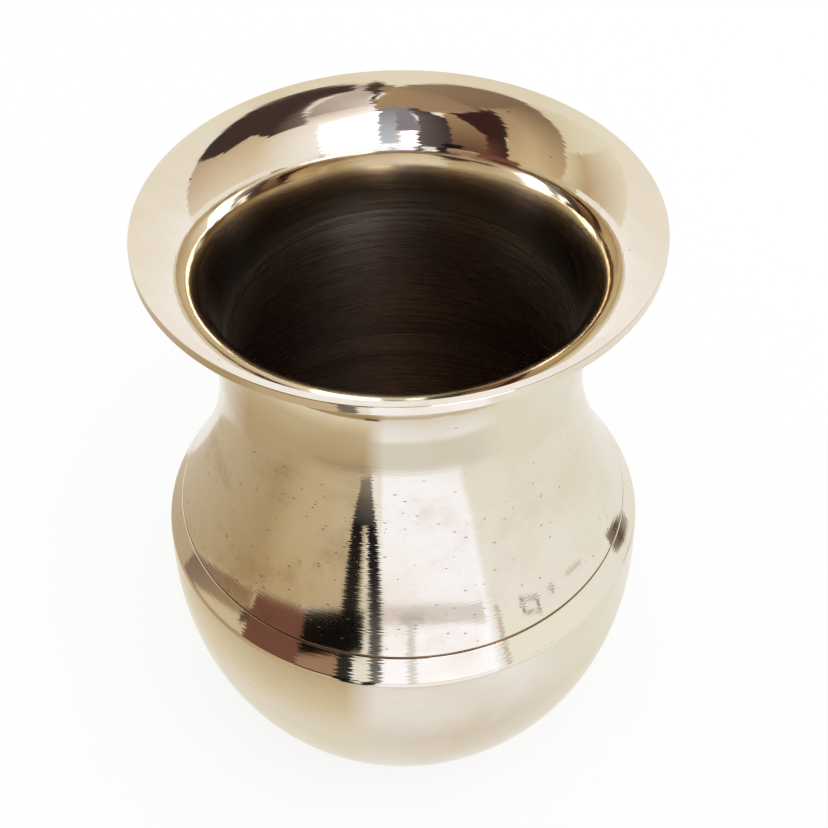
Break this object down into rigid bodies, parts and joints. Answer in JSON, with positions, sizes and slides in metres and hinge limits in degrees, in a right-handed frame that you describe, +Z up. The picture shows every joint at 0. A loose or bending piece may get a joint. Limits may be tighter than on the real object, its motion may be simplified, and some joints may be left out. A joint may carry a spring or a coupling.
{
  "type": "lota",
  "caption": "Round-bellied cast bronze water pot with a hollow neck and a wide flared mouth, its shells brazed along a fine seam; holds and pours water.",
  "frame": {"origin": "centre of the foot, on the plane that the pot stands on", "axes": "+Z up along the axis of the pot, from the foot to the mouth; the pot is round, so X and Y are free"},
  "size_m": [0.1028, 0.1028, 0.1315],
  "materials": {
    "polished_bronze": "turned and polished outside and on the flare, dull brown and tool-marked inside",
    "braze": "dull brown filler, scraped flush in a fine line"
  },
  "bodies": {
    "root": {"upper_shell": "polished_bronze", "lower_bowl": "polished_bronze", "seam_braze": "braze"}
  },
  "joints": []
}
